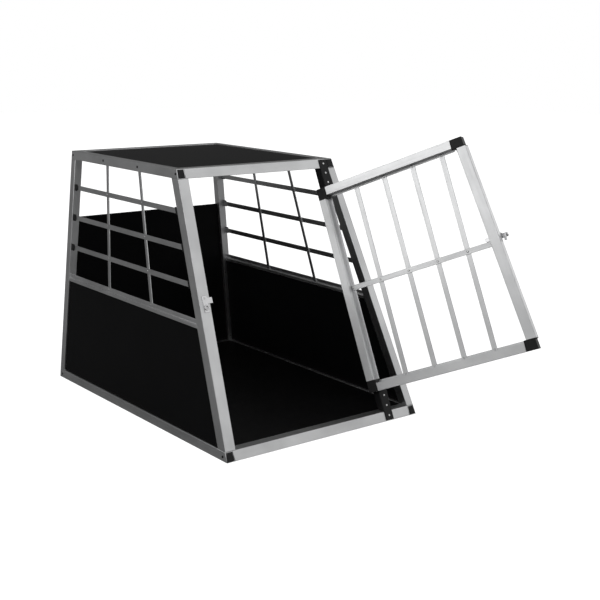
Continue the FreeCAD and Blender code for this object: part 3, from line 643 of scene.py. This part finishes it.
class CRATE_OT_latch(bpy.types.Operator):
    """Round the latch pieces and give the rest of the latch its finish"""
    bl_idname = "crate.latch"
    bl_label = "Build latch"

    def execute(self, context):
        for node in LATCH:
            rounded_piece(node, look().bar_radius)
        for node in ("latch_shaft", "latch_nut", "hinge_pins"):
            paint_node(node)
        return {"FINISHED"}


class CRATE_OT_fixings(bpy.types.Operator):
    """Put domed heads in the place of the plain rivets, screws and dots"""
    bl_idname = "crate.fixings"
    bl_label = "Build fixings"

    def execute(self, context):
        for slot, nodes in FIXINGS.items():
            for node in nodes:
                domed_fixings(node, slot)
        return {"FINISHED"}


def paint_node(node):
    """Gives a CAD node that stays in view its procedural finish."""
    obj = frame["nodes"][node]
    for slot in obj.material_slots:
        slot.material = finish_material(SLOT_OF[node])


# --------------------------------------------------------------------- stage
FIT_AZIMUTH = 37.627
FIT_ELEVATION = 13.434
FIT_ROLL = 0.625
FIT_DISTANCE = 3.029213
FIT_TARGET = (0.0, 0.209596, 0.317354)
FIT_LENS = 66.48
FIT_SHIFT = (0.0317, 0.0095)
SKY_LOBES = (
    ((0.55, -0.70, 0.46), 5.0, 0.66),
    ((-0.95, -0.05, 0.30), 9.0, 0.80),
    ((0.99, -0.02, 0.13), 22.0, 1.30),
    ((-0.64, 0.77, -0.08), 6.0, 0.10),
    ((0.1, 0.1, 1.0), 4.0, 0.35),
)


def add_camera():
    """The viewing camera, placed by azimuth, elevation, roll and distance."""
    azimuth, elevation, roll = (math.radians(turn) for turn in (FIT_AZIMUTH, FIT_ELEVATION, FIT_ROLL))
    back = Vector((-math.sin(azimuth) * math.cos(elevation),
                   -math.cos(azimuth) * math.cos(elevation), math.sin(elevation)))
    level = Vector((math.cos(azimuth), -math.sin(azimuth), 0.0))
    upright = level.cross(-back)
    across = level * math.cos(roll) + upright * math.sin(roll)
    up = upright * math.cos(roll) - level * math.sin(roll)
    data = bpy.data.cameras.new("studio_camera")
    data.lens = FIT_LENS
    data.sensor_width = 36.0
    data.shift_x, data.shift_y = FIT_SHIFT
    data.clip_end = 60.0
    camera = bpy.data.objects.new("studio_camera", data)
    spot = Vector(FIT_TARGET) + back * FIT_DISTANCE
    camera.matrix_world = Matrix((
        (across.x, up.x, back.x, spot.x), (across.y, up.y, back.y, spot.y),
        (across.z, up.z, back.z, spot.z), (0.0, 0.0, 0.0, 1.0)))
    bpy.context.scene.collection.objects.link(camera)
    bpy.context.scene.camera = camera
    return camera


def add_lamp(name, spot, target, size, power):
    data = bpy.data.lights.new(name, "AREA")
    data.shape = "SQUARE"
    data.size = size
    data.energy = power
    lamp = bpy.data.objects.new(name, data)
    lamp.location = spot
    lamp.rotation_euler = (Vector(target) - Vector(spot)).to_track_quat("-Z", "Y").to_euler()
    bpy.context.scene.collection.objects.link(lamp)
    return lamp


def add_floor(size):
    """A pale floor that reads as white in view and keeps the crate's shadow."""
    half = size / 2
    mesh = bpy.data.meshes.new("studio_floor")
    corners = [(-half, -half, 0), (half, -half, 0), (half, half, 0), (-half, half, 0)]
    mesh.from_pydata(corners, [], [(0, 1, 2, 3)])
    floor = bpy.data.objects.new("studio_floor", mesh)
    floor.location = (0.0, 0.45, START_BOUNDS[0][2] - 0.0005)
    bpy.context.scene.collection.objects.link(floor)
    material, tree, shader = new_material("studio_floor")
    shader.inputs["Base Color"].default_value = (0.92, 0.92, 0.92, 1.0)
    shader.inputs["Roughness"].default_value = 0.9
    output = next(node for node in tree.nodes if node.type == "OUTPUT_MATERIAL")
    rays = tree.nodes.new("ShaderNodeLightPath")
    glow = tree.nodes.new("ShaderNodeEmission")
    glow.inputs["Color"].default_value = (1.0, 1.0, 1.0, 1.0)
    glow.inputs["Strength"].default_value = 0.85
    both = tree.nodes.new("ShaderNodeAddShader")
    switch = tree.nodes.new("ShaderNodeMixShader")
    tree.links.new(shader.outputs[0], both.inputs[0])
    tree.links.new(glow.outputs[0], both.inputs[1])
    tree.links.new(rays.outputs["Is Camera Ray"], switch.inputs["Fac"])
    muted = tree.nodes.new("ShaderNodeBsdfDiffuse")
    muted.inputs["Color"].default_value = (0.30, 0.30, 0.30, 1.0)
    tree.links.new(muted.outputs[0], switch.inputs[1])
    tree.links.new(both.outputs[0], switch.inputs[2])
    tree.links.new(switch.outputs[0], output.inputs["Surface"])
    mesh.materials.append(material)
    return floor


def soft_lobe(tree, direction, power, peak):
    """A patch of sky light that falls off around one direction."""
    place = tree.nodes.new("ShaderNodeTexCoord")
    turn = tree.nodes.new("ShaderNodeVectorMath")
    turn.operation = "DOT_PRODUCT"
    tree.links.new(place.outputs["Generated"], turn.inputs[0])
    turn.inputs[1].default_value = Vector(direction).normalized()
    facing = math_node(tree, "MAXIMUM", turn.outputs["Value"], 0.0)
    return math_node(tree, "MULTIPLY", math_node(tree, "POWER", facing, power), peak)


def set_world(strength):
    """Studio light from all round, brightest from three sides, that the camera sees as white."""
    world = bpy.data.worlds.new("studio_world")
    world.use_nodes = True
    tree = world.node_tree
    background = tree.nodes["Background"]
    background.inputs["Color"].default_value = (1.0, 1.0, 1.0, 1.0)
    level = None
    for direction, power, peak in SKY_LOBES:
        lobe = soft_lobe(tree, direction, power, peak)
        level = math_node(tree, "ADD", lobe, strength if level is None else level)
    tree.links.new(level, background.inputs["Strength"])
    seen = tree.nodes.new("ShaderNodeBackground")
    seen.inputs["Color"].default_value = (1.0, 1.0, 1.0, 1.0)
    seen.inputs["Strength"].default_value = 1.0
    rays = tree.nodes.new("ShaderNodeLightPath")
    switch = tree.nodes.new("ShaderNodeMixShader")
    tree.links.new(rays.outputs["Is Camera Ray"], switch.inputs["Fac"])
    tree.links.new(background.outputs[0], switch.inputs[1])
    tree.links.new(seen.outputs[0], switch.inputs[2])
    tree.links.new(switch.outputs[0], tree.nodes["World Output"].inputs["Surface"])
    bpy.context.scene.world = world


class CRATE_OT_stage(bpy.types.Operator):
    """Set up the floor, the lamps and the camera"""
    bl_idname = "crate.stage"
    bl_label = "Build stage"

    def execute(self, context):
        settings = look()
        middle = (0.0, 0.45, 0.35)
        lamps = [
            add_lamp("lamp_front", (-1.2, -3.2, 2.4), middle, 2.2, settings.key_power),
            add_lamp("lamp_left", (-3.4, 0.6, 1.9), middle, 2.0, settings.side_power),
            add_lamp("lamp_right", (3.2, 0.2, 2.2), middle, 2.0, settings.side_power * 0.3),
        ]
        set_world(settings.sky_strength)
        camera = add_camera()
        add_floor(settings.floor_size)
        context.scene.view_settings.view_transform = "Standard"
        return {"FINISHED"}


class CRATE_PT_panel(bpy.types.Panel):
    """Settings and steps of the crate's looks"""
    bl_idname = "CRATE_PT_panel"
    bl_label = "Dog transport crate"
    bl_space_type = "VIEW_3D"
    bl_region_type = "UI"
    bl_category = "Crate"

    def draw(self, context):
        for name in CrateLook.__annotations__:
            self.layout.prop(context.scene.crate_look, name)
        for operator in OPERATORS:
            self.layout.operator(operator.bl_idname)


OPERATORS = (CRATE_OT_tubes, CRATE_OT_boards, CRATE_OT_bars, CRATE_OT_mouldings,
             CRATE_OT_latch, CRATE_OT_fixings, CRATE_OT_stage)
CLASSES = (CrateLook, *OPERATORS, CRATE_PT_panel)


def register():
    for item in CLASSES:
        bpy.utils.register_class(item)
    bpy.types.Scene.crate_look = bpy.props.PointerProperty(type=CrateLook)


def unregister():
    del bpy.types.Scene.crate_look
    for item in reversed(CLASSES):
        bpy.utils.unregister_class(item)


def main():
    register()
    bpy.ops.crate.tubes()
    bpy.ops.crate.boards()
    bpy.ops.crate.bars()
    bpy.ops.crate.mouldings()
    bpy.ops.crate.latch()
    bpy.ops.crate.fixings()
    bpy.ops.crate.stage()


if __name__ == "__main__":
    main()
